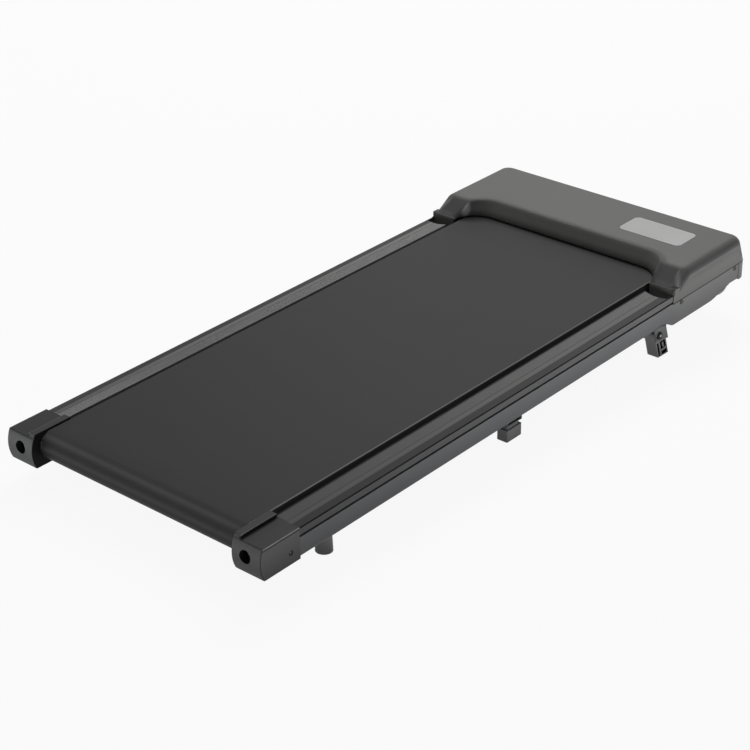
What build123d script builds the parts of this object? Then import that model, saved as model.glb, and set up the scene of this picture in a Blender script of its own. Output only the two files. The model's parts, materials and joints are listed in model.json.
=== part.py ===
# A flat walking-pad treadmill with a low motor hood and flip-down incline feet.
# X runs across it (+X is the walker's right), Y forward to the hood and Z up. Every piece is drawn
# on a level chassis, whose zero is the bottom rear edge of the end caps, and the whole is then tipped
# by the incline, so that it stands on its rear feet and on its lowered incline feet.
from build123d import *
from math import cos, radians, sin, tan
import os

# Driving sizes of the whole, in millimetres and degrees
overall_width = 510.0
run_length = 974.0
hood_length = 231.0
side_band = 55.0
incline = 1.65
side_inset = 1.5
feet_drop = 33.5
fit = 0.05
slip = 0.2
running_gap = 0.3

# Side frames: a rectangular steel tube that opens into a side plate and a flange under the hood
frame_bottom = 2.6
frame_width = 48.0
frame_height = 32.0
frame_wall = 2.0
frame_corner = 3.0
frame_rear = 14.0
end_plate = 3.0
end_plate_rise = 9.0
open_front_gap = 14.0
skirt_depth = 10.0
skirt_run = 32.0
skirt_lead = 22.0
arch_width = 40.0
arch_height = 3.8
arch_setback = 3.0
cross_depth = 40.0
cross_height = 20.0
cross_wall = 2.0
rear_cross_y = 170.0
front_cross_setback = 44.0

# Rollers, running belt and deck
belt_thickness = 1.6
roller_radius = 21.7
roller_drop = 4.2
rear_roller_y = 33.0
front_roller_reach = 78.0
axle_radius = 7.5
bearing_radius = 17.5
bearing_width = 11.0
axle_overhang = 32.0
tension_inset = 29.0
tension_travel = 6.0
deck_thickness = 14.0
deck_gap = 0.4
deck_end_gap = 3.0
deck_screw_inset = 50.0
cushion_size = 30.0

# Foot rails
rail_width = 43.8
rail_rise = 16.8
rail_wall = 2.2
rail_fall = 2.0
rail_shoulder = 13.4
rail_shoulder_fall = 1.2
rail_groove = 1.4
rail_shadow_gap = 1.7
rail_end_gap = 17.0
rail_end_bow = 6.0
rib_count = 9
rib_pitch = 2.3
rib_depth = 0.8

# Rear end caps
cap_width = 54.0
cap_length = 71.0
cap_height = 50.5
cap_lip_width = 12.5
cap_lip_top = 56.0
cap_rear_top = 2.8
cap_rear_bottom = 0.8
cap_bulge = 6.0
cap_wall = 2.5
cap_rear_wall = 4.0
cap_round = 3.0
cap_side_round = 2.0
cap_bevel = 1.5
cap_top_round = 0.8
cap_hole_radius = 10.0
cap_screw_y = 53.0
cap_screw_z = 19.0

# Motor hood and belly pan
hood_bottom = 32.3
hood_top = 80.0
hood_wall = 2.5
hood_round = 15.0
hood_corner = 23.0
hood_lean = 21.5
bay_gap = 4.0
bay_corner = 46.0
bay_lean = 41.5
bay_reach = 46.5
rim_round = 4.0
ledge_length = 5.5
ledge_top = 57.0
ledge_bottom = 47.4
ledge_corner = 5.0
leg_slope = 31.5
leg_root = 2.0
leg_round = 18.0
belt_headroom = 2.5
hood_screw_inset = 27.0
hood_screw_drop = 7.3
front_screw_setback = 40.0
pan_wall = 2.4
pan_front_bottom = 2.0
pan_return = 27.0
pan_rear_gap = 16.0
step_length = 64.0
step_lead = 27.0

# Display in the hood's top
display_inset = 125.5
display_reach = 137.5
display_width = 122.0
display_depth = 58.5
display_round = 8.0
display_thickness = 1.5
display_lip = 3.0
board_thickness = 1.6
display_board_drop = 14.0
display_margin = 3.0
digits_side = 19.0
digits_end = 15.0

# Feet
rear_foot_y = 145.0
rear_foot_radius = 13.0
middle_foot_y = 554.5
middle_foot_length = 36.0
middle_foot_width = 20.0
middle_foot_height = 20.5
foot_neck_height = 7.0
stud_radius = 3.0
screw_radius = 2.0

# Incline feet: a block that hangs on a bolt between the cheeks of a bracket and leans on its web
pivot_setback = 32.0
pivot_drop = 15.1
foot_lean = 18.0
foot_front = 19.0
foot_back = 9.0
foot_width = 20.7
cheek = 2.5
cheek_rise = 6.0
cheek_back_drop = 7.0
cheek_front_drop = 21.5
cheek_reach = 31.5
bolt_radius = 4.0
nut_height = 6.0
pocket_depth = 8.0

# Transport wheels
wheel_radius = 28.0
wheel_width = 18.0
wheel_reach = 165.0
wheel_z = 13.0
wheel_axle_radius = 4.0
wheel_clearance = 5.5
wheel_gap = 3.0
front_bracket = 3.0

# Motor, drive and electronics
motor_reach = 171.0
motor_radius = 32.0
motor_length = 120.0
motor_clearance = 9.0
motor_lift = 3.0
motor_shaft_radius = 5.0
plate_thickness = 2.0
roller_pulley_radius = 31.0
motor_pulley_radius = 12.0
pulley_width = 14.0
pulley_gap = 4.0
drive_belt_width = 12.0
drive_belt_thickness = 2.0
controller_inset = 27.0
controller_width = 170.0
controller_depth = 72.0
controller_lift = 8.0
capacitor_height = 24.0
transformer_height = 20.0
inlet_inset = 105.0
rocker_spacing = 45.0
inlet_width = 27.0
inlet_height = 19.0
rocker_width = 12.0
rocker_height = 18.0
rocker_tilt = 9.0
rocker_pin = 1.5

# Places that follow from those sizes
half = overall_width / 2
belt_half = half - side_band
frame_out = half - side_inset
frame_in = frame_out - frame_width
frame_mid = (frame_in + frame_out) / 2
frame_top = frame_bottom + frame_height
hood_front = run_length + hood_length
frame_front = hood_front - pan_return - slip
open_front = run_length + open_front_gap
roller_z = frame_top - roller_drop
belt_inner = roller_radius + running_gap
belt_outer = belt_inner + belt_thickness
belt_top = roller_z + belt_outer
front_roller_y = run_length + front_roller_reach
cap_in = half - cap_width
deck_top = roller_z + belt_inner - deck_gap
deck_bottom = deck_top - deck_thickness
rail_in = frame_out - rail_width
rail_top = frame_top + rail_rise
front_cross_y = run_length - front_cross_setback
cross_places = (rear_cross_y, (rear_cross_y + front_cross_y) / 2, front_cross_y)
cross_bottom = frame_top - cross_height
tension_x = half - tension_inset
deck_screw_x = belt_half - deck_screw_inset
bay_half = belt_half + bay_gap
bay_foot = run_length + bay_reach
leg_foot = run_length + ledge_length
display_x = half - display_inset
display_y = run_length + display_reach
pivot_y = run_length - pivot_setback
pivot_z = frame_bottom - pivot_drop
arch_y = pivot_y - arch_setback
cheek_out = frame_out - frame_wall
foot_out = cheek_out - cheek - running_gap
foot_in = foot_out - foot_width
cheek_in = foot_in - running_gap - cheek
wheel_y = run_length + wheel_reach
wheel_out = cheek_out - wheel_clearance
wheel_in = wheel_out - wheel_width
front_bracket_x = wheel_in - wheel_gap - front_bracket
skirt_start = run_length - skirt_lead
skirt_end = wheel_y - wheel_radius + 1
step_start = skirt_end - step_lead
motor_y = run_length + motor_reach
plate_bottom = frame_bottom + frame_wall
plate_top = plate_bottom + plate_thickness
drive_reach = roller_pulley_radius + running_gap + drive_belt_thickness
plate_rear = front_roller_y + drive_reach + 5
motor_z = plate_top + motor_lift + motor_radius
saddle_top = motor_z - 0.56 * motor_radius
pulley_in = belt_half + pulley_gap
motor_outer_x = pulley_in - motor_clearance
motor_inner_x = motor_outer_x - motor_length
pulley_out = pulley_in + pulley_width
pulley_mid = (pulley_in + pulley_out) / 2
controller_x = front_bracket_x - controller_inset - controller_width / 2
controller_y = plate_rear + 6 + controller_depth / 2
controller_z = plate_top + controller_lift
inlet_x = half - inlet_inset
rocker_x = inlet_x - rocker_spacing
front_wall_y = hood_front - hood_wall
front_wall_z = (pan_front_bottom + hood_bottom) / 2
middle_foot_x = frame_out - 4.5 - middle_foot_width / 2
hood_screw_z = frame_top - hood_screw_drop
hood_screw_places = (run_length + hood_screw_inset, hood_front - front_screw_setback)
pan_screw_x = cheek_out - 12
pan_side_screws = (run_length + pan_rear_gap + 14, step_start - 14)
pan_front_screws = [half * share for share in (-0.59, -0.12, 0.16, 0.7)]
pan_front_screw_y = front_wall_y - 26
post_x = controller_width / 2 - 6
post_y = controller_depth / 2 - 6
controller_posts = [(controller_x + i * post_x, controller_y + j * post_y) for i in (-1, 1) for j in (-1, 1)]
rocker_pivot_y = hood_front - 6.5
display_posts = [(display_x + i * (display_width / 2 + display_margin),
                  display_y + j * (display_depth / 2 + display_margin)) for i in (-1, 1) for j in (-1, 1)]


def block(x0, x1, y0, y1, z0, z1):
    return Pos((x0 + x1) / 2, (y0 + y1) / 2, (z0 + z1) / 2) * Box(
        abs(x1 - x0), abs(y1 - y0), abs(z1 - z0))


def along_x(sketch, x0, x1):
    return Pos(x0, 0, 0) * extrude(Plane.YZ * sketch, amount=x1 - x0)


def along_y(sketch, y0, y1):
    return Pos(0, y0, 0) * extrude(Plane.XZ * sketch, amount=y0 - y1)


def along_z(sketch, z0, z1):
    return Pos(0, 0, z0) * extrude(sketch, amount=z1 - z0)


def rod_x(x0, x1, y, z, radius):
    return along_x(Pos(y, z) * Circle(radius), x0, x1)


def rod_y(x, z, y0, y1, radius):
    return along_y(Pos(x, z) * Circle(radius), y0, y1)


def rod_z(x, y, z0, z1, radius):
    return along_z(Pos(x, y) * Circle(radius), z0, z1)


def outline(*points):
    return make_face(Polyline(*points, close=True))


def s_step(y0, z0, y1, z1):
    pull = (y1 - y0) * 0.5
    return Bezier((y0, z0), (y0 + pull, z0), (y1 - pull, z1), (y1, z1))


def left_of(right):
    return mirror(right, about=Plane.YZ)


def both(right):
    return Compound([*right.solids(), *left_of(right).solids()])


def belt_loop(y0, z0, r0, y1, z1, r1):
    first = Pos(y0, z0) * Circle(r0)
    second = Pos(y1, z1) * Circle(r1)
    return make_hull([*first.edges(), *second.edges()])


def floor_cut(part):
    # takes away what would reach below the floor that the inclined treadmill stands on
    reach = 2 * hood_front
    ground = Pos(0, rear_foot_y, -feet_drop) * Rot(-incline, 0, 0) * Pos(0, 0, -reach / 2)
    return part - ground * Box(reach, reach, reach)


# Steel chassis
def right_side_frame():
    section = Pos(frame_mid, (frame_bottom + frame_top) / 2) * RectangleRounded(
        frame_width, frame_height, frame_corner)
    tube = along_y(section, frame_rear, frame_front)
    hollow_in = frame_in + frame_wall
    tube -= block(hollow_in, cheek_out, frame_rear + end_plate, frame_front + 1,
                  frame_bottom + frame_wall, frame_top - frame_wall)
    # under the hood the top and inner walls are cut away, and past the front axle the flange too
    tube -= block(frame_in - 1, cheek_out, open_front, frame_front + 1, plate_bottom, frame_top + 1)
    tube -= block(frame_in - 1, cheek_out, skirt_end, frame_front + 1, frame_bottom - 1, frame_top + 1)
    tube -= block(frame_in - 1, front_bracket_x - 0.1, open_front, plate_rear - 1,
                  frame_bottom - 1, frame_top + 1)
    # skirt that dips under the hood and rises again round the wheel
    dip = frame_bottom - skirt_depth
    skirt_top = frame_bottom + frame_corner
    lower_edge = [
        s_step(skirt_start, frame_bottom, skirt_start + skirt_run, dip),
        Line((skirt_start + skirt_run, dip), (step_start, dip)),
        s_step(step_start, dip, step_start + step_length, frame_bottom),
        Polyline((step_start + step_length, frame_bottom), (step_start + step_length, skirt_top),
                 (skirt_start, skirt_top), (skirt_start, frame_bottom)),
    ]
    tube += along_x(make_face(lower_edge), cheek_out, frame_out)
    # arch in the lower edge and slot in the floor for the incline bracket's outer cheek
    arch = make_face([
        ThreePointArc((arch_y - arch_width / 2, frame_bottom), (arch_y, frame_bottom + arch_height),
                      (arch_y + arch_width / 2, frame_bottom)),
        Polyline((arch_y + arch_width / 2, frame_bottom), (arch_y + arch_width / 2, frame_bottom - 1),
                 (arch_y - arch_width / 2, frame_bottom - 1), (arch_y - arch_width / 2, frame_bottom)),
    ])
    tube -= along_x(arch, cheek_out - cheek - slip, frame_out + 1)
    tube -= block(cheek_out - cheek - slip, cheek_out, arch_y - arch_width / 2, pivot_y + cheek_reach + 0.5,
                  frame_bottom - 1, plate_bottom + 0.1)
    # rear axle slot in the inner wall, tension bolt hole in the end plate
    slot_half = axle_radius + running_gap
    slot_front = rear_roller_y + axle_radius + 2 * tension_travel
    tube -= block(frame_in - 1, hollow_in + 0.1, frame_rear - 1, slot_front,
                  roller_z - slot_half, roller_z + slot_half)
    tube -= block(frame_in - 1, cheek_out, frame_rear - 1, slot_front, frame_top - frame_wall, frame_top + 1)
    tube += block(hollow_in, cheek_out, frame_rear, frame_rear + end_plate, plate_bottom,
                  frame_top + end_plate_rise)
    tube -= rod_y(tension_x, roller_z, frame_rear - 1, frame_rear + end_plate + 1, bolt_radius + slip)
    # holes for the foot studs, the cap screw and the hood screws
    tube -= rod_z(frame_mid, rear_foot_y, frame_bottom - 1, plate_bottom + 1, stud_radius + slip)
    tube -= rod_z(middle_foot_x, middle_foot_y, frame_bottom - 1, plate_bottom + 1, stud_radius + slip)
    tube -= rod_x(cheek_out - 1, frame_out + 1, cap_screw_y, cap_screw_z, screw_radius + fit)
    for y in hood_screw_places:
        tube -= rod_x(cheek_out - 1, frame_out + 1, y, hood_screw_z, screw_radius + fit)
    for y in pan_side_screws:
        tube -= rod_z(pan_screw_x, y, frame_bottom - 1, plate_bottom + 1, screw_radius + fit)
    return tube


def cross_member(y):
    tube = block(-frame_in, frame_in, y - cross_depth / 2, y + cross_depth / 2, cross_bottom, frame_top)
    tube -= block(-frame_in - 1, frame_in + 1, y - cross_depth / 2 + cross_wall,
                  y + cross_depth / 2 - cross_wall, cross_bottom + cross_wall, frame_top - cross_wall)
    for x in (-deck_screw_x, deck_screw_x):
        tube -= rod_z(x, y, cross_bottom - 1, frame_top + 1, stud_radius + fit)
    return tube


def right_front_bracket():
    plate = belt_loop(front_roller_y, roller_z, 18, wheel_y, wheel_z, 2 * wheel_axle_radius)
    plate += outline((front_roller_y - 30, plate_bottom), (skirt_end - slip, plate_bottom),
                     (skirt_end - slip, wheel_z), (front_roller_y, roller_z), (front_roller_y - 30, 14))
    bracket = along_x(plate, front_bracket_x, front_bracket_x + front_bracket)
    bracket -= rod_x(front_bracket_x - 1, front_bracket_x + 9, front_roller_y, roller_z, bolt_radius + fit)
    bracket -= rod_x(front_bracket_x - 1, front_bracket_x + 9, wheel_y, wheel_z, wheel_axle_radius + fit)
    return bracket


def motor_plate():
    plate_half = front_bracket_x - slip
    plate_front = front_wall_y - 20
    plate = block(-plate_half, plate_half, plate_rear, plate_front, plate_bottom, plate_top)
    plate += block(-plate_half, plate_half, plate_front - plate_thickness, plate_front,
                   plate_bottom, plate_top + 6)
    for x, y in controller_posts:
        plate -= rod_z(x, y, plate_bottom - 1, plate_top + 1, screw_radius + fit)
    for x in pan_front_screws:
        plate -= rod_z(x, pan_front_screw_y, plate_bottom - 1, plate_top + 1, screw_radius + fit)
    return plate


# Running deck
def deck_board():
    board = block(-belt_half, belt_half, cap_length + deck_end_gap,
                  front_roller_y - drive_reach - deck_end_gap, deck_bottom, deck_top)
    board = fillet(board.edges().filter_by(Axis.X).group_by(Axis.Z)[-1], deck_thickness / 4)
    for y in cross_places:
        for x in (-deck_screw_x, deck_screw_x):
            board -= rod_z(x, y, deck_bottom - 1, deck_bottom + 9, stud_radius + fit)
    return board


def deck_cushions():
    pads = []
    for y in cross_places:
        for x in (-deck_screw_x, deck_screw_x):
            pad = block(x - cushion_size / 2, x + cushion_size / 2, y - cushion_size / 2,
                        y + cushion_size / 2, frame_top, deck_bottom)
            pad = fillet(pad.edges().filter_by(Axis.Z), cushion_size / 5)
            pads.append(pad - rod_z(x, y, frame_top - 1, deck_bottom + 1, stud_radius + fit))
    return Compound(pads)


def deck_screws():
    screws = []
    for y in cross_places:
        for x in (-deck_screw_x, deck_screw_x):
            screw = rod_z(x, y, cross_bottom, deck_bottom + 8, stud_radius)
            screws.append(screw + rod_z(x, y, cross_bottom - 3, cross_bottom, 2 * stud_radius))
    return Compound(screws)


def running_belt():
    outer = belt_loop(rear_roller_y, roller_z, belt_outer, front_roller_y, roller_z, belt_outer)
    inner = belt_loop(rear_roller_y, roller_z, belt_inner, front_roller_y, roller_z, belt_inner)
    return along_x(outer - inner, -belt_half, belt_half)


def roller(y):
    tube = rod_x(-belt_half, belt_half, y, roller_z, roller_radius)
    return tube - rod_x(-belt_half - 1, belt_half + 1, y, roller_z, bearing_radius)


def bearings(y):
    ring = rod_x(belt_half - bearing_width, belt_half, y, roller_z, bearing_radius - fit)
    return both(ring - rod_x(0, half, y, roller_z, axle_radius + fit))


def rear_axle():
    axle_half = frame_in + axle_overhang
    axle = rod_x(-axle_half, axle_half, rear_roller_y, roller_z, axle_radius)
    for x in (-tension_x, tension_x):
        axle -= rod_y(x, roller_z, rear_roller_y - half, rear_roller_y + half, bolt_radius + fit)
    return axle


def tension_bolts():
    head_height = 2 * bolt_radius
    bolt = rod_y(tension_x, roller_z, frame_rear, rear_roller_y + axle_radius + tension_travel, bolt_radius)
    bolt += rod_y(tension_x, roller_z, frame_rear - head_height, frame_rear, 1.6 * bolt_radius)
    socket = Pos(tension_x, roller_z) * RegularPolygon(bolt_radius * 0.9, 6)
    bolt -= along_y(socket, frame_rear - head_height - 1, frame_rear - bolt_radius)
    return both(bolt)


def front_axle():
    axle = rod_x(-front_bracket_x, front_bracket_x, front_roller_y, roller_z, axle_radius)
    for side in (-1, 1):
        axle -= rod_x(side * (front_bracket_x - 22), side * (front_bracket_x + 1), front_roller_y, roller_z,
                      bolt_radius + fit)
    return axle


def front_axle_bolts():
    seat = front_bracket_x + front_bracket
    bolt = rod_x(front_bracket_x - 20, seat, front_roller_y, roller_z, bolt_radius)
    head = Pos(front_roller_y, roller_z) * RegularPolygon(1.8 * bolt_radius, 6)
    return both(bolt + along_x(head, seat, seat + 5.5))


# Drive
def grooved_pulley(y, z, radius, bore):
    # poly-V pulley: shallow V grooves between two rims
    groove_count = 4
    pitch = (pulley_width - 4) / groove_count
    depth = 1.2
    profile = [(-pulley_out, bore), (-pulley_out, radius), (-pulley_out + 2, radius)]
    for i in range(groove_count):
        start = -pulley_out + 2 + i * pitch
        profile.append((start + pitch / 2, radius - depth))
        profile.append((start + pitch, radius))
    profile += [(-pulley_in, radius), (-pulley_in, bore)]
    return Pos(0, y, z) * revolve(outline(*profile), Axis.X)


def roller_pulley():
    pulley = grooved_pulley(front_roller_y, roller_z, roller_pulley_radius, axle_radius + 1)
    hub = rod_x(-pulley_in, -belt_half, front_roller_y, roller_z, roller_radius)
    hub -= rod_x(-pulley_in - 1, 0, front_roller_y, roller_z, axle_radius + 1)
    return pulley + hub


def drive_belt():
    edge = drive_belt_width / 2
    small = motor_pulley_radius + running_gap
    large = roller_pulley_radius + running_gap
    thick = drive_belt_thickness
    outer = belt_loop(front_roller_y, roller_z, large + thick, motor_y, motor_z, small + thick)
    inner = belt_loop(front_roller_y, roller_z, large, motor_y, motor_z, small)
    return along_x(outer - inner, -pulley_mid - edge, -pulley_mid + edge)


def motor_body():
    bell = 7.0
    body = rod_x(-motor_outer_x + bell, -motor_inner_x - bell, motor_y, motor_z, motor_radius)
    body += rod_x(-motor_outer_x, -motor_inner_x, motor_y, motor_z, motor_radius - 2)
    vent_count = 8
    for i in range(vent_count):
        turn = Pos(0, motor_y, motor_z) * Rot(i * 360 / vent_count, 0, 0)
        vent = block(-motor_inner_x - 6, -motor_inner_x + 1, -5, 5, motor_radius * 0.6, motor_radius * 0.78)
        body -= turn * vent
    return body - rod_x(-half, half, motor_y, motor_z, motor_shaft_radius + fit)


def motor_saddle():
    long = motor_length * 0.33
    deep = motor_radius * 0.69
    mid = -(motor_inner_x + motor_outer_x) / 2
    saddle = block(mid - long, mid + long, motor_y - deep, motor_y + deep, plate_top, saddle_top)
    return saddle - rod_x(-half, half, motor_y, motor_z, motor_radius + fit)


def motor_straps():
    straps = []
    mid = -(motor_inner_x + motor_outer_x) / 2
    edge = motor_length * 0.06
    for offset in (-motor_length * 0.22, motor_length * 0.22):
        ring = rod_x(mid + offset - edge, mid + offset + edge, motor_y, motor_z, motor_radius + 1.5)
        ring -= rod_x(-half, half, motor_y, motor_z, motor_radius + fit)
        straps.append(ring - block(-half, half, motor_y - half, motor_y + half, 0, saddle_top))
    return Compound(straps)


def motor_shaft():
    return rod_x(-pulley_out, -motor_inner_x + 15, motor_y, motor_z, motor_shaft_radius)


def motor_pulley():
    return grooved_pulley(motor_y, motor_z, motor_pulley_radius, motor_shaft_radius + fit)


def motor_fan():
    hub_start = -motor_inner_x + 2
    hub_end = hub_start + 12
    fan = rod_x(hub_start, hub_end, motor_y, motor_z, 2 * motor_shaft_radius)
    fan += rod_x(hub_start, hub_start + 1.5, motor_y, motor_z, motor_radius - 6)
    blade_count = 9
    for i in range(blade_count):
        blade = block(hub_start, hub_end, -0.9, 0.9, motor_shaft_radius + 2, motor_radius - 6)
        fan += Pos(0, motor_y, motor_z) * Rot(i * 360 / blade_count, 0, 0) * blade
    return fan - rod_x(-half, half, motor_y, motor_z, motor_shaft_radius + fit)


# Electronics
def controller_board():
    board = block(controller_x - controller_width / 2, controller_x + controller_width / 2,
                  controller_y - controller_depth / 2, controller_y + controller_depth / 2,
                  controller_z, controller_z + board_thickness)
    for x, y in controller_posts:
        board -= rod_z(x, y, controller_z - 1, controller_z + 9, screw_radius + fit)
    top = controller_z + board_thickness
    right = controller_x + controller_width / 2
    for i in range(3):
        y = controller_y + (i - 1) * 0.3 * controller_depth
        board += rod_z(right - 0.12 * controller_width, y, top - 0.2, top + capacitor_height,
                       0.11 * controller_depth)
    transformer = block(right - 0.39 * controller_width, right - 0.22 * controller_width,
                        controller_y - 0.25 * controller_depth, controller_y + 0.17 * controller_depth,
                        top - 0.2, top + transformer_height)
    return board + fillet(transformer.edges().filter_by(Axis.Z), 2)


def heat_sink():
    # finned extrusion: a flat base with upright fins
    base_z = controller_z + board_thickness
    left = controller_x - controller_width / 2 + 14
    width = 0.47 * controller_width
    fin_count = 11
    fin = 1.8
    comb = [(left, base_z), (left + width, base_z), (left + width, base_z + 26)]
    pitch = (width - fin) / (fin_count - 1)
    for i in range(fin_count - 1, 0, -1):
        comb += [(left + i * pitch, base_z + 26), (left + i * pitch, base_z + 4),
                 (left + (i - 1) * pitch + fin, base_z + 4), (left + (i - 1) * pitch + fin, base_z + 26)]
    comb.append((left, base_z + 26))
    return along_y(outline(*comb), controller_y - 26, controller_y + 26)


def controller_post_group():
    posts = []
    for x, y in controller_posts:
        post = rod_z(x, y, plate_top, controller_z, 2 * screw_radius)
        post += rod_z(x, y, plate_bottom, controller_z + board_thickness + 2, screw_radius)
        posts.append(post)
    return Compound(posts)


def display_window():
    pane = Pos(display_x, display_y) * RectangleRounded(
        display_width - 2 * fit, display_depth - 2 * fit, display_round)
    return along_z(pane, hood_top - display_thickness, hood_top)


def display_board():
    board_z = hood_top - display_board_drop
    edge = 4 * display_margin
    board = Pos(display_x, display_y) * RectangleRounded(display_width + edge, display_depth + edge, 3)
    solid = along_z(board, board_z, board_z + board_thickness)
    digits = Rectangle(display_width - 2 * digits_side, display_depth - 2 * digits_end)
    digits = Pos(display_x, display_y) * digits
    return solid + along_z(digits, board_z + board_thickness, hood_top - display_thickness - 1.5)


def power_inlet():
    body = block(inlet_x - inlet_width / 2, inlet_x + inlet_width / 2, front_wall_y - 16, hood_front,
                 front_wall_z - inlet_height / 2, front_wall_z + inlet_height / 2)
    body += block(inlet_x - inlet_width / 2 - 4, inlet_x + inlet_width / 2 + 4, front_wall_y - 2,
                  front_wall_y, front_wall_z - inlet_height / 2 - 2, front_wall_z + inlet_height / 2 + 2)
    socket = Pos(inlet_x, front_wall_z) * RectangleRounded(inlet_width - 4, inlet_height - 4, 2)
    body -= along_y(socket, front_wall_y - 13, hood_front + 1)
    for dx, dz in ((-7, -2), (0, 3), (7, -2)):
        body += block(inlet_x + dx - 1, inlet_x + dx + 1, front_wall_y - 14, front_wall_y - 1,
                      front_wall_z + dz - 2, front_wall_z + dz + 2)
    return body


def rocker_frame():
    wide = rocker_width / 2 + 1.5
    tall = rocker_height / 2 + 1.5
    shell = block(rocker_x - wide, rocker_x + wide, front_wall_y - 16, hood_front,
                  front_wall_z - tall, front_wall_z + tall)
    shell += block(rocker_x - wide - 2, rocker_x + wide + 2, front_wall_y - 2, front_wall_y,
                   front_wall_z - tall - 2, front_wall_z + tall + 2)
    shell -= block(rocker_x - wide + 1.5, rocker_x + wide - 1.5, front_wall_y - 12, hood_front + 1,
                   front_wall_z - tall + 1.5, front_wall_z + tall - 1.5)
    return shell - rod_x(rocker_x - wide - 1, rocker_x + wide + 1, rocker_pivot_y, front_wall_z,
                         rocker_pin + fit)


def power_rocker():
    # shallow V face on a pin, tipped to its lower stop
    tip = rocker_height / 2 - 1.2
    face = outline((3.4, 0), (6.0, tip), (1.5, tip), (-5, 2), (-5, -2), (1.5, -tip), (6.0, -tip))
    wide = rocker_width / 2 - running_gap
    body = along_x(face, -wide, wide) + rod_x(-wide - 1.3, wide + 1.3, 0, 0, rocker_pin)
    return Pos(rocker_x, rocker_pivot_y, front_wall_z) * Rot(-rocker_tilt, 0, 0) * body


# Covers
def hood_form(inset):
    # The hood's outer form, or the hollow inside it: a block whose front leans back and whose legs have
    # sloping backs, its outer edges rounded, less a bay for the belt whose wall leans forward.
    side = half - inset
    top = hood_top - inset
    bottom = hood_bottom - inset
    slope = radians(leg_slope)
    back = run_length + leg_root + inset
    foot = leg_foot + inset / sin(slope)
    middle = (back + hood_front) / 2
    profile = outline((back, bottom), (back, ledge_top + (back - foot) * tan(slope)),
                      (foot + (top - ledge_top) / tan(slope), top), (hood_front, top), (hood_front, bottom))
    bends = [v for v in profile.vertices() if v.X < middle and v.Y > bottom + 1]
    profile = fillet(bends, leg_round - inset)
    lean = tan(radians(hood_lean))
    front = hood_front - inset / cos(radians(hood_lean)) + (hood_bottom - bottom) * lean
    plan = round_front(side, back, front, hood_corner - inset)
    body = along_x(profile, -side, side) & leaning(plan, bottom, top, -lean)
    body = fillet(outer_rim(body, side, top, bottom, middle), hood_round - inset)
    lean = tan(radians(bay_lean))
    wall = bay_foot + inset / cos(radians(bay_lean)) + (bottom - ledge_top) * lean
    bay = bay_half + inset
    bay_plan = round_front(bay, wall - 2 * half, wall, bay_corner + inset)
    return body - leaning(bay_plan, bottom, top + 1, lean)


def round_front(side, rear, front, corner):
    plan = Pos(0, (rear + front) / 2) * Rectangle(2 * side, front - rear)
    return fillet(plan.vertices().group_by(Axis.Y)[-1], corner)


def leaning(plan, z0, z1, lean):
    # plan drawn up from one height to another while it moves forward by lean for each unit of rise
    tall = z1 - z0
    return extrude(Pos(0, 0, z0) * plan, amount=tall * (1 + lean * lean) ** 0.5, dir=(0, lean, 1))


def outer_rim(body, side, top, bottom, middle):
    # edges from the root of each leg's outer side along the top to the front and round it
    rim = []
    for edge in body.edges():
        spot = edge.center()
        on_side = abs(abs(spot.X) - side) < 0.01 and spot.Z > bottom + 0.01 and spot.Y < middle
        on_top = spot.Z > top - 0.01 and (spot.Y > middle or abs(spot.X) > side - 0.01)
        if on_side or on_top:
            rim.append(edge)
    return rim


def bay_rim(body):
    # edges of the bay from the root of one leg's inner side along the top to the other
    rim = []
    for edge in body.edges():
        spot = edge.center()
        above = spot.Z > hood_bottom + 0.01 and spot.Y < display_y and abs(spot.X) < bay_half
        if above and (spot.Z > hood_top - 0.01 or edge.geom_type != GeomType.LINE):
            rim.append(edge)
    return rim


def motor_hood():
    hood = fillet(bay_rim(hood_form(0)), rim_round)
    hollow = hood_form(hood_wall)
    for side in (-1, 1):
        ledge_front = leg_foot + 2 * ledge_length
        ledge = block(side * bay_half, side * half, run_length, ledge_front, ledge_bottom, ledge_top)
        corner = ledge.edges().filter_by(Axis.Z).group_by(Axis.Y)[0].sort_by(Axis.X)[0 if side < 0 else -1]
        hood += fillet(corner, ledge_corner)
        hood += block(side * bay_half, side * half, run_length, ledge_front, hood_bottom, ledge_bottom)
        hollow += block(side * (bay_half + hood_wall), side * (half - hood_wall), run_length + hood_wall,
                        ledge_front, hood_bottom - hood_wall, ledge_top - hood_wall)
    hood -= hollow
    # room for the belt and the steel side plates
    hood -= block(-bay_half - hood_wall, bay_half + hood_wall, run_length - 1, bay_foot + 3 * hood_wall,
                  hood_bottom - 1, belt_top + belt_headroom)
    for side in (-1, 1):
        hood -= block(side * bay_half, side * (frame_out + slip), run_length - 1, frame_front + slip,
                      hood_bottom - 1, frame_top + slip)
    # window seat and posts for the display board
    seat = Pos(display_x, display_y) * RectangleRounded(display_width, display_depth, display_round)
    hole = Pos(display_x, display_y) * RectangleRounded(
        display_width - 2 * display_lip, display_depth - 2 * display_lip, display_round - display_lip / 2)
    hood -= along_z(seat, hood_top - display_thickness, hood_top + 1)
    hood -= along_z(hole, hood_top - 2 * hood_wall, hood_top)
    board_top = hood_top - display_board_drop + board_thickness
    for x, y in display_posts:
        hood += rod_z(x, y, board_top, hood_top - hood_wall, display_margin)
    # lugs behind the side plates for the side screws
    for side in (-1, 1):
        for y in hood_screw_places:
            lug_in = side * (cheek_out - 4.2)
            lug = block(lug_in, side * (cheek_out - slip), y - 8, y + 8, hood_screw_z - 7, frame_top + 3)
            lug += block(lug_in, side * (half - hood_wall / 2), y - 8, y + 8, frame_top + 1, frame_top + 8)
            hood += lug - rod_x(side * (cheek_out - 6), side * frame_out, y, hood_screw_z, screw_radius + fit)
    return hood


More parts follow.
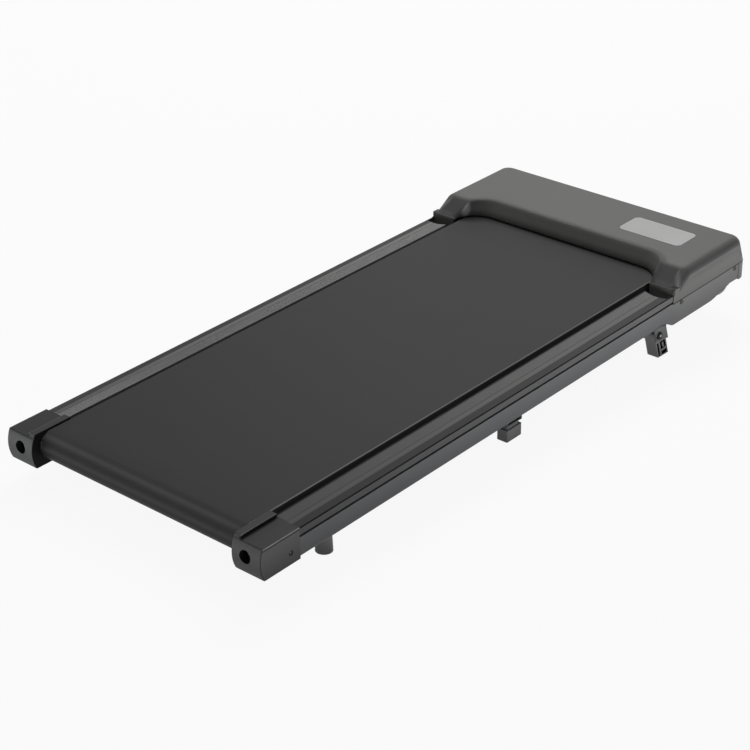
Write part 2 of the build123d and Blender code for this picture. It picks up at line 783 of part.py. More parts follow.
def belly_pan():
    side = cheek_out - slip
    low = frame_bottom - skirt_depth + 1
    start = run_length + pan_rear_gap
    rise_end = step_start + step_length
    inside = pan_front_bottom + pan_wall
    lower = [
        Line((start, low), (step_start, low)),
        s_step(step_start, low, rise_end, pan_front_bottom),
        Polyline((rise_end, pan_front_bottom), (front_wall_y, pan_front_bottom), (front_wall_y, inside),
                 (rise_end, inside)),
        s_step(rise_end, inside, step_start, low + pan_wall),
        Polyline((step_start, low + pan_wall), (start + pan_wall, low + pan_wall),
                 (start + pan_wall, frame_bottom - slip), (start, frame_bottom - slip), (start, low)),
    ]
    pan = along_x(make_face(lower), -side, side)
    pan &= along_z(round_front(side, start, front_wall_y, hood_corner), low - 1, hood_bottom)
    # front wall with rounded corners, flush with the side frames, that carries on the hood's front
    rear = hood_front - pan_return
    plan = round_front(half - slip, rear, hood_front, hood_corner)
    inner = round_front(half - slip - hood_wall, rear, front_wall_y, hood_corner - hood_wall)
    pan += along_z(plan - inner, pan_front_bottom, hood_bottom - slip)
    pan += along_z(inner, pan_front_bottom, inside)
    for sign in (-1, 1):
        pan -= block(sign * (front_bracket_x + front_bracket + 0.5), sign * half, skirt_end - 2,
                     wheel_y + wheel_radius + 4, low - 1, frame_bottom + 6)
        pan += block(sign * (side - pan_wall), sign * side, start, step_start, low, frame_bottom - slip)
        for y in pan_side_screws:
            pan += rod_z(sign * pan_screw_x, y, low, frame_bottom - slip, 2.2 * screw_radius)
            pan -= rod_z(sign * pan_screw_x, y, low - 1, frame_bottom, screw_radius + fit)
    for x in pan_front_screws:
        pan -= rod_z(x, pan_front_screw_y, pan_front_bottom - 1, pan_front_bottom + 9, screw_radius + fit)
    for x, width, height in ((inlet_x, inlet_width, inlet_height),
                             (rocker_x, rocker_width + 3, rocker_height + 3)):
        wide = width / 2 + fit
        tall = height / 2 + fit
        pan -= block(x - wide, x + wide, front_wall_y - 1, hood_front + 1,
                     front_wall_z - tall, front_wall_z + tall)
    return pan


def right_end_cap():
    # convex rear face with a tension bolt access hole and a raised lip beside the belt, hollow over
    # the end of the side frame
    profile = make_face([
        Polyline((cap_rear_bottom, 0), (cap_length, 0), (cap_length, cap_lip_top),
                 (cap_rear_top, cap_lip_top)),
        ThreePointArc((cap_rear_top, cap_lip_top), (-cap_bulge, cap_lip_top * 0.48), (cap_rear_bottom, 0)),
    ])
    cap = along_x(profile, cap_in, half)
    cap -= block(cap_in + cap_lip_width, half + 1, -2 * cap_bulge, cap_length + 1,
                 cap_height, cap_lip_top + 1)
    cap = fillet(cap.edges().filter_by(Axis.X).group_by(Axis.Z)[0].sort_by(Axis.Y)[0], cap_round)
    for x, radius in ((half, cap_side_round), (cap_in, cap_bevel)):
        arcs = [arc for arc in cap.edges().filter_by(GeomType.CIRCLE) if arc.center().Z > cap_round]
        cap = fillet([arc for arc in arcs if abs(arc.center().X - x) < 0.01], radius)
    lines = cap.edges().filter_by(Axis.Y)
    tops = [line for line in lines if line.center().Z > cap_lip_top - 0.01]
    tops += [line for line in lines if line.center().X > half - 0.01 and line.center().Z > cap_height - 0.01]
    cap = fillet(tops, cap_top_round)
    cap -= block(cap_in + cap_wall, frame_out + slip, cap_rear_wall, cap_length + 1,
                 frame_bottom - slip, cap_height - cap_wall)
    cap -= rod_y(tension_x, roller_z, -cap_bulge - 1, cap_rear_wall + 1, cap_hole_radius)
    slot_half = axle_radius + 0.7
    cap -= block(cap_in - 1, cap_in + cap_wall + 1, rear_roller_y - slot_half, cap_length + 1,
                 roller_z - slot_half, roller_z + slot_half)
    return cap - screw_cone(fit)


def screw_cone(gap):
    # countersunk head of an end cap screw, flush with the cap's side, or the seat round it
    cone = Cone(screw_radius + 0.4 + gap, 2 * screw_radius + 0.25 + gap, half - frame_out - slip,
                align=(Align.CENTER, Align.CENTER, Align.MIN))
    return Pos(frame_out + slip, cap_screw_y, cap_screw_z) * Rot(0, 90, 0) * cone


def cross_recess(x, y, z):
    # two crossing slots for a driver in a screw head whose face is at x
    long = 1.3 * screw_radius
    narrow = 0.3 * screw_radius
    slots = block(x - screw_radius / 2, x + 1, y - long, y + long, z - narrow, z + narrow)
    return slots + block(x - screw_radius / 2, x + 1, y - narrow, y + narrow, z - long, z + long)


def right_foot_rail():
    slope = rail_fall / (rail_width - rail_shoulder)
    shoulder_x = frame_out - rail_shoulder
    edge_x = frame_out - rail_groove
    edge_z = rail_top - rail_fall - rail_shoulder_fall
    side_z = edge_z - rail_groove
    under_z = frame_top + rail_shadow_gap
    top = [(rail_in, frame_top), (rail_in, rail_top)]
    for i in range(rib_count):
        start = rail_in + 1.6 + i * rib_pitch
        z = rail_top - (start - rail_in) * slope
        top += [(start, z), (start + 0.2, z - rib_depth), (start + 0.9, z - rib_depth), (start + 1.1, z)]
    top += [(shoulder_x, rail_top - rail_fall), (edge_x, edge_z), (edge_x, side_z), (frame_out, side_z),
            (frame_out, under_z)]
    w = rail_wall
    leg = shoulder_x - 4
    ceiling = rail_top - rail_fall - w
    inside = [(frame_out - w, under_z), (frame_out - w, side_z - w), (edge_x - w, side_z - w),
              (edge_x - w, edge_z - w), (leg + w, ceiling), (leg + w, frame_top), (leg, frame_top),
              (leg, ceiling), (rail_in + w, rail_top - w - rib_depth), (rail_in + w, frame_top)]
    rail = along_y(outline(*top, *inside), cap_length + 0.5, run_length - slip)
    # the ribbed top ends in a bow before the hood, and the outer wall runs on to it
    end = run_length - rail_end_gap
    wall_x = frame_out - rail_wall
    cut = make_face([
        ThreePointArc((rail_in - 1, end), ((rail_in + wall_x) / 2, end - rail_end_bow), (wall_x, end)),
        Polyline((wall_x, end), (wall_x, run_length), (rail_in - 1, run_length), (rail_in - 1, end)),
    ])
    return rail - along_z(cut, frame_top - 1, rail_top + 1)


# Feet
def rear_feet():
    profile = outline((0, frame_bottom), (rear_foot_radius + 2, frame_bottom),
                      (rear_foot_radius + 2, frame_bottom - 4), (rear_foot_radius - 1, frame_bottom - 7),
                      (rear_foot_radius, -feet_drop - 1), (0, -feet_drop - 1))
    foot = Pos(frame_mid, rear_foot_y, 0) * revolve(Plane.XZ * profile, Axis.Z)
    foot = floor_cut(foot)
    return both(foot - rod_z(frame_mid, rear_foot_y, -feet_drop / 2, frame_bottom + 1, stud_radius + fit))


def middle_feet():
    rubber_top = -feet_drop + middle_foot_height
    foot = along_z(Pos(middle_foot_x, middle_foot_y) * RectangleRounded(
        middle_foot_width, middle_foot_length, 2), -feet_drop, rubber_top)
    foot = fillet(foot.edges().group_by(Axis.Z)[0], 1.5)
    foot += along_z(Pos(middle_foot_x, middle_foot_y) * RectangleRounded(
        middle_foot_width - 6, middle_foot_length - 8, 2), rubber_top, rubber_top + foot_neck_height)
    return both(foot - rod_z(middle_foot_x, middle_foot_y, rubber_top - 8, half, stud_radius + fit))


def middle_foot_blocks():
    seat_z = -feet_drop + middle_foot_height + foot_neck_height
    tube = block(middle_foot_x - middle_foot_width / 2, middle_foot_x + middle_foot_width / 2,
                 middle_foot_y - middle_foot_length / 2, middle_foot_y + middle_foot_length / 2,
                 seat_z, frame_bottom)
    tube -= block(middle_foot_x - half, middle_foot_x + half, middle_foot_y - middle_foot_length / 2 + 2,
                  middle_foot_y + middle_foot_length / 2 - 2, seat_z + 2, frame_bottom - 2)
    return both(tube - rod_z(middle_foot_x, middle_foot_y, seat_z - 1, frame_bottom + 1, stud_radius + fit))


def foot_studs():
    rubber_top = -feet_drop + middle_foot_height
    rear = rod_z(frame_mid, rear_foot_y, -feet_drop / 2, plate_bottom + 8, stud_radius)
    rear += rod_z(frame_mid, rear_foot_y, plate_bottom, plate_bottom + 5, 2 * stud_radius)
    middle = rod_z(middle_foot_x, middle_foot_y, rubber_top - 8, plate_bottom + 8, stud_radius)
    middle += rod_z(middle_foot_x, middle_foot_y, plate_bottom, plate_bottom + 5, 2 * stud_radius)
    return Compound([*both(rear).solids(), *both(middle).solids()])


def lean(sketch):
    # sketch x runs forward across the foot and sketch y up along it, about the pivot
    return Pos(pivot_y, pivot_z) * Rot(0, 0, foot_lean) * sketch


def right_incline_bracket():
    web_out = foot_front + running_gap + cheek
    tall = 60.0
    shape = lean(outline((-foot_back - 1, tall), (-foot_back - 1, -cheek_back_drop),
                         (web_out, -cheek_front_drop), (web_out, tall)))
    cheek_shape = along_x(shape, cheek_in, cheek_out)
    gap = lean(outline((-foot_back - 20, tall), (-foot_back - 20, -40), (foot_front + running_gap, -40),
                       (foot_front + running_gap, tall)))
    bracket = cheek_shape - along_x(gap, cheek_in + cheek, cheek_out - cheek)
    reach = 2 * tall
    above = frame_bottom + reach
    bracket -= block(cheek_in - 1, cheek_out - cheek, pivot_y - reach, pivot_y + reach, frame_bottom, above)
    bracket -= block(cheek_in - 1, half, pivot_y - reach, pivot_y + reach, plate_bottom + cheek_rise, above)
    # the outer cheek stands in the frame's slot
    bracket -= block(cheek_in - 1, half, pivot_y + cheek_reach, pivot_y + reach, frame_bottom, above)
    bracket -= block(cheek_in - 1, half, pivot_y - reach, arch_y - arch_width / 2 + 0.5, frame_bottom, above)
    return bracket - rod_x(cheek_in - 1, cheek_out + 1, pivot_y, pivot_z, bolt_radius + fit)


def right_incline_foot():
    # block with a round head on the bolt, cored from its outer side, its sole flat on the floor
    long = 62.0
    body = Circle(foot_back)
    body += outline((-foot_back, 0), (-foot_back, -long), (foot_front, -long), (foot_front, 0))
    foot = along_x(lean(body), foot_in, foot_out)
    foot = floor_cut(foot)
    back = -foot_back + 2.5
    front = foot_front - 2.5
    back_slot = outline((back, -15), (back + 4.5, -15), (back + 4.5, -45), (back, -41))
    upper_pocket = outline((2, -17), (front, -22), (front, -37), (2, -34))
    lower_pocket = outline((2, -38), (front, -42), (front, -50), (2, -45.5))
    for pocket in (back_slot, upper_pocket, lower_pocket):
        foot -= along_x(lean(pocket), foot_out - pocket_depth, foot_out + 1)
    rib = outline((7, -22), (11, -23.5), (11, -33.5), (7, -32))
    foot += along_x(lean(rib), foot_out - pocket_depth - 1, foot_out)
    return foot - rod_x(foot_in - 1, foot_out + 1, pivot_y, pivot_z, bolt_radius + fit)


def incline_bolts():
    head = 3.0
    bolt = rod_x(cheek_in - nut_height - 1, cheek_out, pivot_y, pivot_z, bolt_radius)
    dome = rod_x(cheek_out, cheek_out + head, pivot_y, pivot_z, 1.75 * bolt_radius)
    dome = chamfer(dome.edges().group_by(Axis.X)[-1], head / 2)
    return both(bolt + dome)


def incline_nuts():
    hexagon = Pos(pivot_y, pivot_z) * RegularPolygon(1.85 * bolt_radius, 6)
    nut = along_x(hexagon, cheek_in - nut_height, cheek_in)
    return both(nut - rod_x(0, half, pivot_y, pivot_z, bolt_radius + fit))


# Wheels and small fasteners
def right_transport_wheel():
    rim = 3.0
    hub = 3 * wheel_axle_radius
    tread = wheel_radius - 7
    bore = wheel_axle_radius + fit
    web = wheel_width / 2 - 2.5
    profile = outline(
        (wheel_in, bore), (wheel_in, hub), (wheel_in + web, hub), (wheel_in + web, tread), (wheel_in, tread),
        (wheel_in, wheel_radius - rim), (wheel_in + rim, wheel_radius), (wheel_out - rim, wheel_radius),
        (wheel_out, wheel_radius - rim), (wheel_out, tread), (wheel_out - web, tread), (wheel_out - web, hub),
        (wheel_out, hub), (wheel_out, bore))
    return Pos(0, wheel_y, wheel_z) * revolve(profile, Axis.X)


def wheel_axles():
    return both(rod_x(front_bracket_x - 4, cheek_out, wheel_y, wheel_z, wheel_axle_radius))


def wheel_spacers():
    tubes = []
    bore = rod_x(-half, half, wheel_y, wheel_z, wheel_axle_radius + fit)
    inner = (front_bracket_x + front_bracket, wheel_in - running_gap)
    outer = (wheel_out + running_gap, cheek_out)
    for x0, x1 in (inner, outer):
        tubes += both(rod_x(x0, x1, wheel_y, wheel_z, 2 * wheel_axle_radius) - bore).solids()
    return Compound(tubes)


def end_cap_screws():
    shank = rod_x(cheek_out - 6, frame_out + slip, cap_screw_y, cap_screw_z, screw_radius)
    return both(screw_cone(0) + shank - cross_recess(half, cap_screw_y, cap_screw_z))


def cover_screws():
    # hood side screws with low round heads, and pan screws from below
    screws = []
    for y in hood_screw_places:
        screw = rod_x(cheek_out - 4, frame_out, y, hood_screw_z, screw_radius)
        head = rod_x(frame_out, half - 0.2, y, hood_screw_z, 2.25 * screw_radius)
        head = chamfer(head.edges().group_by(Axis.X)[-1], 0.5)
        screws += both(screw + head - cross_recess(half, y, hood_screw_z)).solids()
    low = frame_bottom - skirt_depth + 1
    for y in pan_side_screws:
        screw = rod_z(pan_screw_x, y, low, plate_bottom + 3, screw_radius)
        screws += both(screw + rod_z(pan_screw_x, y, low - 1.4, low, 2 * screw_radius)).solids()
    for x in pan_front_screws:
        screw = rod_z(x, pan_front_screw_y, pan_front_bottom, plate_top + 3, screw_radius)
        head = rod_z(x, pan_front_screw_y, pan_front_bottom - 1.4, pan_front_bottom, 2 * screw_radius)
        screws.append(screw + head)
    return Compound(screws)


def build_parts():
    side_frame = right_side_frame()
    bracket = right_front_bracket()
    cap = right_end_cap()
    rail = right_foot_rail()
    incline_bracket = right_incline_bracket()
    incline_foot = right_incline_foot()
    wheel = right_transport_wheel()
    parts = {
        "right_side_frame": side_frame,
        "left_side_frame": left_of(side_frame),
        "right_foot_rail": rail,
        "left_foot_rail": left_of(rail),
        "right_end_cap": cap,
        "left_end_cap": left_of(cap),
        "right_front_bracket": bracket,
        "left_front_bracket": left_of(bracket),
        "right_incline_bracket": incline_bracket,
        "left_incline_bracket": left_of(incline_bracket),
        "right_incline_foot": incline_foot,
        "left_incline_foot": left_of(incline_foot),
        "right_transport_wheel": wheel,
        "left_transport_wheel": left_of(wheel),
        "motor_plate": motor_plate(),
        "deck_board": deck_board(),
        "deck_cushions": deck_cushions(),
        "deck_screws": deck_screws(),
        "running_belt": running_belt(),
        "rear_roller": roller(rear_roller_y),
        "rear_roller_bearings": bearings(rear_roller_y),
        "rear_axle": rear_axle(),
        "tension_bolts": tension_bolts(),
        "front_roller": roller(front_roller_y),
        "front_roller_bearings": bearings(front_roller_y),
        "roller_pulley": roller_pulley(),
        "front_axle": front_axle(),
        "front_axle_bolts": front_axle_bolts(),
        "drive_belt": drive_belt(),
        "motor_body": motor_body(),
        "motor_saddle": motor_saddle(),
        "motor_straps": motor_straps(),
        "motor_shaft": motor_shaft(),
        "motor_pulley": motor_pulley(),
        "motor_fan": motor_fan(),
        "controller_board": controller_board(),
        "controller_posts": controller_post_group(),
        "heat_sink": heat_sink(),
        "display_window": display_window(),
        "display_board": display_board(),
        "power_inlet": power_inlet(),
        "rocker_frame": rocker_frame(),
        "power_rocker": power_rocker(),
        "motor_hood": motor_hood(),
        "belly_pan": belly_pan(),
        "rear_feet": rear_feet(),
        "middle_feet": middle_feet(),
        "middle_foot_blocks": middle_foot_blocks(),
        "foot_studs": foot_studs(),
        "incline_bolts": incline_bolts(),
        "incline_nuts": incline_nuts(),
        "wheel_axles": wheel_axles(),
        "wheel_spacers": wheel_spacers(),
        "end_cap_screws": end_cap_screws(),
        "cover_screws": cover_screws(),
    }
    for name, y in zip(("rear", "middle", "front"), cross_places):
        parts[f"{name}_cross_member"] = cross_member(y)
    return parts


def main():
    tipped = {name: Rot(incline, 0, 0) * part for name, part in build_parts().items()}
    box = Compound([solid for part in tipped.values() for solid in part.solids()]).bounding_box()
    shift = Pos(0, -(box.min.Y + box.max.Y) / 2, -box.min.Z)
    os.makedirs("parts", exist_ok=True)
    for name, part in tipped.items():
        export_step(shift * part, f"parts/{name}.step")
    pivots = {"incline_foot": (pivot_y, pivot_z), "transport_wheel": (wheel_y, wheel_z),
              "rear_roller": (rear_roller_y, roller_z), "front_roller": (front_roller_y, roller_z),
              "motor": (motor_y, motor_z), "power_rocker": (rocker_pivot_y, front_wall_z)}
    turn = radians(incline)
    for name, (y, z) in pivots.items():
        row_y = y * cos(turn) - z * sin(turn) + shift.position.Y
        row_z = y * sin(turn) + z * cos(turn) + shift.position.Z
        print(name, "axis at y", round(row_y, 4), "z", round(row_z, 4))
    print("size", box.size, "shift", shift.position)


main()
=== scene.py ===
import json
from math import cos, pi, radians, sin

import bpy
import numpy as np
from mathutils import Matrix, Vector


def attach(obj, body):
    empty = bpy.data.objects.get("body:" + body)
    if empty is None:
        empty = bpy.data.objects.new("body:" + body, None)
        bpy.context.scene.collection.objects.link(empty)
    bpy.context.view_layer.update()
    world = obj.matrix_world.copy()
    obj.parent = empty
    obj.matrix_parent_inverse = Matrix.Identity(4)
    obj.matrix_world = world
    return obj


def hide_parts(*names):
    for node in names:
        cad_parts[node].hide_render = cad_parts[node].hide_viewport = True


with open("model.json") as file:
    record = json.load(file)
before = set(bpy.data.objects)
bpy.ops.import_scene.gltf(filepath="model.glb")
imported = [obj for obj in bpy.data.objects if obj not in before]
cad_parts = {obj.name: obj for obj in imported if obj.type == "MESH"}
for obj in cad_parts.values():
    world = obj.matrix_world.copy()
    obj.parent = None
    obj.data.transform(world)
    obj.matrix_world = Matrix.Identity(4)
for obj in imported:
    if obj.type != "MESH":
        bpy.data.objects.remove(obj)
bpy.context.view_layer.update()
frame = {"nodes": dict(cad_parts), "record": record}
print("frame loaded")

# The chassis is drawn level and then tipped: a turn about X, a slide along Y and a lift
chassis = {"incline": radians(1.65), "slideY": -0.598838, "lift": 0.029311}


def tipped(points):
    # level chassis point (x, y, z) -> (x, y cos i - z sin i + slide, y sin i + z cos i + lift)
    points = np.asarray(points, float)
    turnCos, turnSin = cos(chassis["incline"]), sin(chassis["incline"])
    y = points[..., 1] * turnCos - points[..., 2] * turnSin + chassis["slideY"]
    z = points[..., 1] * turnSin + points[..., 2] * turnCos + chassis["lift"]
    return np.stack([points[..., 0], y, z], axis=-1)


# Camera: set up on the level chassis and tipped with it
camera = {"place": (1.82517, -1.56621, 1.51084), "azimuth": radians(41.169), "elevation": radians(28.5),
          "roll": radians(-0.979), "lens": 96.633, "sensor": 36.0, "clipEnd": 50}


def placeCamera():
    a, e, r = camera["azimuth"], camera["elevation"], camera["roll"]
    back = Vector((sin(a) * cos(e), -cos(a) * cos(e), sin(e)))
    right = Vector((cos(a), sin(a), 0))
    up = back.cross(right)
    turnedRight = right * cos(r) + up * sin(r)
    turnedUp = up * cos(r) - right * sin(r)
    axes = Matrix((turnedRight, turnedUp, back)).transposed().to_4x4()
    level = Matrix.Translation(camera["place"]) @ axes
    slide = Matrix.Translation((0, chassis["slideY"], chassis["lift"]))
    tip = slide @ Matrix.Rotation(chassis["incline"], 4, "X")
    data = bpy.data.cameras.new("photoCamera")
    data.lens = camera["lens"]
    data.sensor_width = camera["sensor"]
    data.clip_end = camera["clipEnd"]
    eye = bpy.data.objects.new("photoCamera", data)
    eye.matrix_world = tip @ level
    bpy.context.scene.collection.objects.link(eye)
    bpy.context.scene.camera = eye


placeCamera()
print("camera placed")


# Small helpers for shader trees
def addNode(tree, kind, **values):
    node = tree.nodes.new(kind)
    for key, value in values.items():
        if key in node.inputs:
            node.inputs[key].default_value = value
        else:
            setattr(node, key, value)
    return node


def newGroup(name, inputs, outputs):
    # inputs: {name: default}, a tuple default makes a vector socket
    tree = bpy.data.node_groups.new(name, "ShaderNodeTree")
    for key, value in inputs.items():
        kind = "NodeSocketVector" if isinstance(value, tuple) else "NodeSocketFloat"
        socket = tree.interface.new_socket(key, in_out="INPUT", socket_type=kind)
        socket.default_value = value
    for key in outputs:
        tree.interface.new_socket(key, in_out="OUTPUT", socket_type="NodeSocketFloat")
    return tree, tree.nodes.new("NodeGroupInput"), tree.nodes.new("NodeGroupOutput")


def mathStep(tree, operation, first, second=None, third=None):
    node = tree.nodes.new("ShaderNodeMath")
    node.operation = operation
    for slot, value in enumerate((first, second, third)):
        if value is None:
            continue
        if isinstance(value, (int, float)):
            node.inputs[slot].default_value = value
        else:
            tree.links.new(value, node.inputs[slot])
    return node.outputs[0]


def smoothBetween(tree, value, low, high):
    node = addNode(tree, "ShaderNodeMapRange", interpolation_type="SMOOTHSTEP")
    node.inputs["From Min"].default_value = low
    node.inputs["From Max"].default_value = high
    tree.links.new(value, node.inputs["Value"])
    return node.outputs["Result"]


# Moulded and coated skins: fine pebbles for the bump, a slow drift for the tone, specks of dust
grainMix = {"cellScale": 0.7, "cellHeight": 0.6, "fineTone": 0.25, "speckScale": 2300.0, "speckLevel": 0.72}


def buildGrain():
    # height is the fine noise and a share of the cells, tone the slow noise and a share of the fine one, and
    # dust the specks times the slow noise
    inputs = {"Vector": (0.0, 0.0, 0.0), "Scale": 700.0, "Drift": 6.0, "Dust": 0.1}
    tree, given, result = newGroup("skinGrain", inputs, ("Height", "Tone", "Dust"))
    fine = addNode(tree, "ShaderNodeTexNoise", Detail=3.0, Roughness=0.6)
    cell = addNode(tree, "ShaderNodeTexVoronoi", feature="SMOOTH_F1")
    slow = addNode(tree, "ShaderNodeTexNoise", Detail=4.0, Roughness=0.55)
    speck = addNode(tree, "ShaderNodeTexNoise", Scale=grainMix["speckScale"], Detail=1.0)
    for node in (fine, cell, slow, speck):
        tree.links.new(given.outputs["Vector"], node.inputs["Vector"])
    tree.links.new(given.outputs["Scale"], fine.inputs["Scale"])
    cellScale = mathStep(tree, "MULTIPLY", given.outputs["Scale"], grainMix["cellScale"])
    tree.links.new(cellScale, cell.inputs["Scale"])
    tree.links.new(given.outputs["Drift"], slow.inputs["Scale"])
    height = mathStep(tree, "MULTIPLY_ADD", cell.outputs["Distance"], grainMix["cellHeight"],
                      fine.outputs["Fac"])
    tree.links.new(height, result.inputs["Height"])
    tone = mathStep(tree, "MULTIPLY_ADD", fine.outputs["Fac"], grainMix["fineTone"], slow.outputs["Fac"])
    tree.links.new(tone, result.inputs["Tone"])
    spots = mathStep(tree, "GREATER_THAN", speck.outputs["Fac"], grainMix["speckLevel"])
    spots = mathStep(tree, "MULTIPLY", spots, slow.outputs["Fac"])
    tree.links.new(mathStep(tree, "MULTIPLY", spots, given.outputs["Dust"]), result.inputs["Dust"])
    return tree


def buildPlace():
    # place on the level chassis: across is the distance from the middle, side is x, along is
    # (y - slide) cos i + (z - lift) sin i and height is (z - lift) cos i - (y - slide) sin i
    ways = ("Across", "Side", "Along", "Height")
    tree, given, result = newGroup("chassisPlace", {"Vector": (0.0, 0.0, 0.0)}, ways)
    split = tree.nodes.new("ShaderNodeSeparateXYZ")
    tree.links.new(given.outputs["Vector"], split.inputs[0])
    i = chassis["incline"]
    y = mathStep(tree, "SUBTRACT", split.outputs["Y"], chassis["slideY"])
    z = mathStep(tree, "SUBTRACT", split.outputs["Z"], chassis["lift"])
    along = mathStep(tree, "MULTIPLY_ADD", z, sin(i), mathStep(tree, "MULTIPLY", y, cos(i)))
    height = mathStep(tree, "MULTIPLY_ADD", y, -sin(i), mathStep(tree, "MULTIPLY", z, cos(i)))
    tree.links.new(mathStep(tree, "ABSOLUTE", split.outputs["X"]), result.inputs["Across"])
    tree.links.new(split.outputs["X"], result.inputs["Side"])
    tree.links.new(along, result.inputs["Along"])
    tree.links.new(height, result.inputs["Height"])
    return tree


# Diamond weave of the belt, with a faint cloudiness in the tone
weaveMix = {"cloudScale": 14.0, "ridgeTone": 0.5, "toneShift": 0.35}


def buildWeave():
    # height is the higher of two families of slanting ridges, |sin(pi (u + v) / pitch)| and
    # |sin(pi (u - v) / pitch)|
    inputs = {"Vector": (0.0, 0.0, 0.0), "Pitch": 0.0045}
    tree, given, result = newGroup("beltWeave", inputs, ("Height", "Tone"))
    split = tree.nodes.new("ShaderNodeSeparateXYZ")
    tree.links.new(given.outputs["Vector"], split.inputs[0])
    ridges = []
    for sign in (1.0, -1.0):
        slant = mathStep(tree, "MULTIPLY_ADD", split.outputs["Y"], sign, split.outputs["X"])
        turn = mathStep(tree, "MULTIPLY", mathStep(tree, "DIVIDE", slant, given.outputs["Pitch"]), pi)
        ridges.append(mathStep(tree, "ABSOLUTE", mathStep(tree, "SINE", turn)))
    weave = mathStep(tree, "MAXIMUM", ridges[0], ridges[1])
    tree.links.new(weave, result.inputs["Height"])
    cloud = addNode(tree, "ShaderNodeTexNoise", Scale=weaveMix["cloudScale"], Detail=3.0, Roughness=0.6)
    tree.links.new(given.outputs["Vector"], cloud.inputs["Vector"])
    tone = mathStep(tree, "MULTIPLY_ADD", weave, weaveMix["ridgeTone"], cloud.outputs["Fac"])
    tree.links.new(mathStep(tree, "SUBTRACT", tone, weaveMix["toneShift"]), result.inputs["Tone"])
    return tree


skinGrain = buildGrain()
chassisPlace = buildPlace()
beltWeave = buildWeave()


def newMaterial(name):
    material = bpy.data.materials.new(name)
    material.use_nodes = True
    tree = material.node_tree
    tree.nodes.clear()
    output = tree.nodes.new("ShaderNodeOutputMaterial")
    shader = tree.nodes.new("ShaderNodeBsdfPrincipled")
    tree.links.new(shader.outputs["BSDF"], output.inputs["Surface"])
    return material, tree, shader


def twoShades(tree, colour, spread, factor):
    # from colour (1 - spread) to colour (1 + spread)
    base = np.array(colour)
    shades = addNode(tree, "ShaderNodeMix", data_type="RGBA")
    shades.inputs["A"].default_value = (*(base * (1 - spread)), 1)
    shades.inputs["B"].default_value = (*(base * (1 + spread)), 1)
    tree.links.new(factor, shades.inputs["Factor"])
    return shades.outputs["Result"]


def overlay(tree, colour, shade, factor):
    mix = addNode(tree, "ShaderNodeMix", data_type="RGBA")
    mix.inputs["B"].default_value = (*shade, 1)
    tree.links.new(colour, mix.inputs["A"])
    tree.links.new(factor, mix.inputs["Factor"])
    return mix.outputs["Result"]


def placeValue(tree, level, way):
    # a name gives that place on the level chassis, a dictionary of centres the distance from there and
    # pairs of name and weight their weighted sum
    if isinstance(way, str):
        return level.outputs[way]
    total = 0.0
    if isinstance(way, dict):
        for name, centre in way.items():
            offset = mathStep(tree, "SUBTRACT", level.outputs[name], centre)
            total = mathStep(tree, "MULTIPLY_ADD", offset, offset, total)
        return mathStep(tree, "SQRT", total)
    for name, weight in way:
        total = mathStep(tree, "MULTIPLY_ADD", level.outputs[name], weight, total)
    return total


def zoneMask(tree, level, tests):
    # product of soft steps, up at low and down at high
    mask = 1.0
    for way, low, high, soft in tests:
        value = placeValue(tree, level, way)
        rise = smoothBetween(tree, value, low - soft, low)
        fall = smoothBetween(tree, value, high + soft, high)
        mask = mathStep(tree, "MULTIPLY", mathStep(tree, "MULTIPLY", rise, fall), mask)
    return mask


def scaleColour(tree, colour, scale):
    node = addNode(tree, "ShaderNodeVectorMath", operation="SCALE")
    tree.links.new(colour, node.inputs[0])
    tree.links.new(scale, node.inputs["Scale"])
    return node.outputs[0]


# What the skins share; paintedLightFalloff is the stretch of the chassis over which a look's painted falloff
# of light runs
skin = {"spread": 0.12, "drift": 6.0, "roughSpread": 0.12, "meanTone": 0.6, "depth": 0.0003, "dust": 0.1,
        "dustColour": (0.45, 0.44, 0.42), "specular": 0.5, "paintedLightFalloff": (0.1, 0.9), "softSamples": 8}


